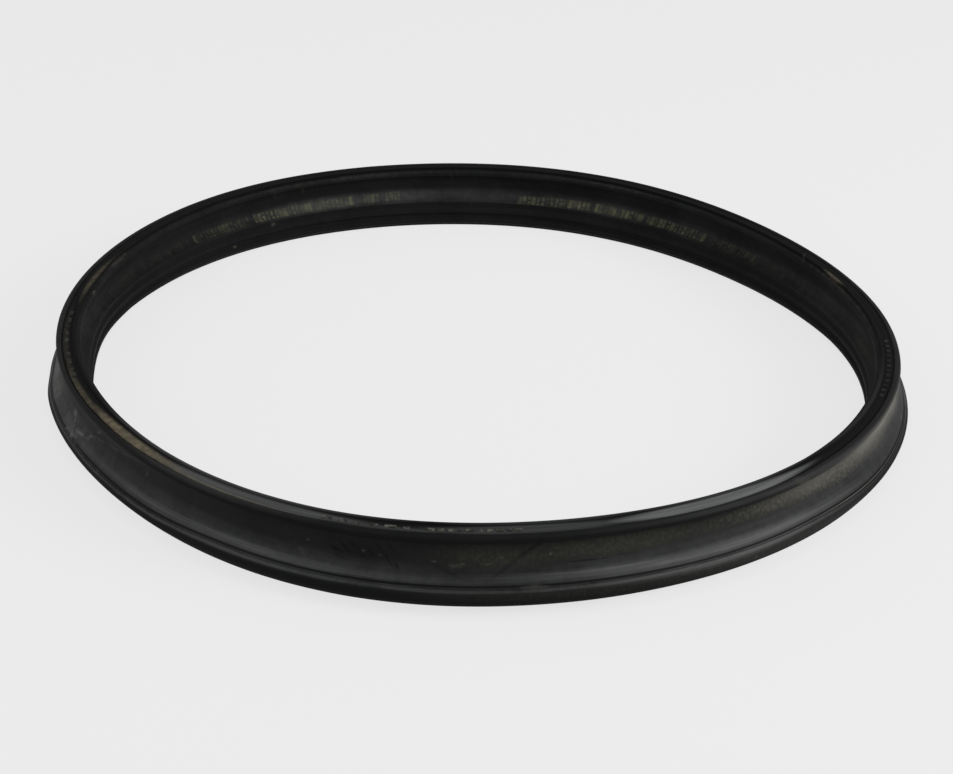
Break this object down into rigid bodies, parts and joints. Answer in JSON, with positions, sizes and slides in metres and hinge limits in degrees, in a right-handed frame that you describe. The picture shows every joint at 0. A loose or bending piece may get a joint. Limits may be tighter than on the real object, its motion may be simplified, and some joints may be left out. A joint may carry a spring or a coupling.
{
  "type": "riser seal",
  "caption": "Moulded rubber ring that seals a corrugated riser pipe in a socket: inner grip ribs, a waisted web, a channelled head with a rolled lip, and an outer pressing bead.",
  "frame": {"origin": "middle of the plane that the ring's flat foot stands on, on the ring's axis", "axes": "+Z is the ring's axis, pointing from the foot to the channelled head; the side in front in the picture faces -Y"},
  "size_m": [0.65, 0.65, 0.0536],
  "materials": {
    "rubber": "satin moulded rubber"
  },
  "bodies": {
    "root": {"riser_seal": "rubber"}
  },
  "joints": []
}
